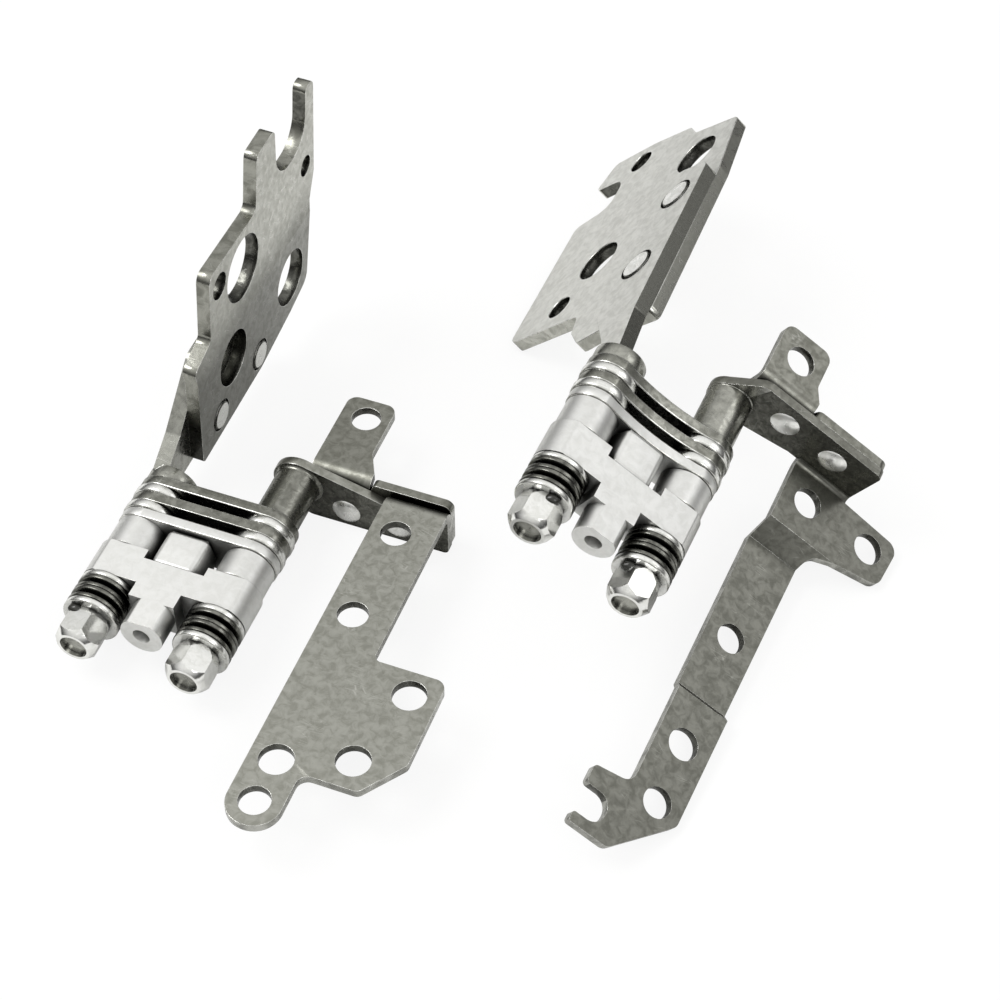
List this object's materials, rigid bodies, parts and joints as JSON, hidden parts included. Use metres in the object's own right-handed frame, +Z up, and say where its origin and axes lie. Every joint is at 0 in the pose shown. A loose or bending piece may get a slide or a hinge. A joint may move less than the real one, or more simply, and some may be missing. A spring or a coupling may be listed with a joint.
{
  "type": "laptop hinge pair",
  "caption": "Left and right friction hinges of a folding laptop: parallel shafts in link plates, stamped lid plate, folded base bracket, spring washers and nuts.",
  "frame": {"origin": "centre of the pair's footprint, on the floor it lies on", "axes": "+Z up, +Y along the left hinge's shafts away from its nuts, +X from the left hinge to the right hinge"},
  "size_m": [0.065, 0.0876, 0.0281],
  "materials": {
    "plate_steel": "nickel-plated stamped sheet, slightly worn",
    "machined_steel": "fine-turned bright steel",
    "rivet_steel": "satin",
    "spring_steel": "dark, lightly oiled",
    "nut_steel": "plated"
  },
  "bodies": {
    "left_lid_and_right_base": {"left_lid_bracket": "plate_steel", "left_lid_shaft": "plate_steel", "left_lid_rivets": "rivet_steel", "left_lid_friction_washers": "machined_steel", "left_lid_cam": "machined_steel", "left_lid_seat_washer": "machined_steel", "left_lid_disc_springs": "spring_steel", "left_lid_end_washer": "machined_steel", "left_lid_nut": "nut_steel", "right_base_bracket": "plate_steel", "right_tab_bracket": "plate_steel", "right_base_rivets": "rivet_steel", "right_base_shaft": "plate_steel", "right_base_friction_washers": "machined_steel", "right_base_cam": "machined_steel", "right_base_seat_washer": "machined_steel", "right_base_disc_springs": "spring_steel", "right_base_end_washer": "machined_steel", "right_base_nut": "nut_steel"},
    "left_link": {"left_outer_link": "machined_steel", "left_middle_link": "machined_steel", "left_inner_link": "machined_steel", "left_bearing_block": "machined_steel"},
    "left_lock": {"left_lock_block": "machined_steel"},
    "left_base": {"left_base_bracket": "plate_steel", "left_tab_bracket": "plate_steel", "left_base_rivets": "rivet_steel", "left_base_shaft": "plate_steel", "left_base_friction_washers": "machined_steel", "left_base_cam": "machined_steel", "left_base_seat_washer": "machined_steel", "left_base_disc_springs": "spring_steel", "left_base_end_washer": "machined_steel", "left_base_nut": "nut_steel"},
    "right_link": {"right_outer_link": "machined_steel", "right_middle_link": "machined_steel", "right_inner_link": "machined_steel", "right_bearing_block": "machined_steel"},
    "right_lock": {"right_lock_block": "machined_steel"},
    "right_lid": {"right_lid_bracket": "plate_steel", "right_lid_shaft": "plate_steel", "right_lid_rivets": "rivet_steel", "right_lid_friction_washers": "machined_steel", "right_lid_cam": "machined_steel", "right_lid_seat_washer": "machined_steel", "right_lid_disc_springs": "spring_steel", "right_lid_end_washer": "machined_steel", "right_lid_nut": "nut_steel"}
  },
  "joints": [
    {"name": "left_lid_pivot", "type": "hinge", "parent": "left_lid_and_right_base", "child": "left_link", "pos_m": [-0.02993, -0.01366, 0.0039], "axis": [0, 1, 0], "range_deg": [0, 180]},
    {"name": "left_base_pivot", "type": "hinge", "parent": "left_link", "child": "left_base", "pos_m": [-0.01958, -0.01366, 0.0039], "axis": [0, 1, 0], "range_deg": [-90, 90]},
    {"name": "left_lock_slide", "type": "slide", "parent": "left_link", "child": "left_lock", "axis": [1, 0, 0], "range_m": [0, 0.0006]},
    {"name": "right_base_pivot", "type": "hinge", "parent": "left_lid_and_right_base", "child": "right_link", "pos_m": [0.0152, 0.00174, 0.01225], "axis": [0.0678, 0.9952, 0.0703], "range_deg": [-90, 90]},
    {"name": "right_lid_pivot", "type": "hinge", "parent": "right_link", "child": "right_lid", "pos_m": [0.00649, 0.00194, 0.01784], "axis": [0.0678, 0.9952, 0.0703], "range_deg": [-10, 170]},
    {"name": "right_lock_slide", "type": "slide", "parent": "right_link", "child": "right_lock", "axis": [0.8419, -0.0193, -0.5393], "range_m": [0, 0.0006]}
  ]
}
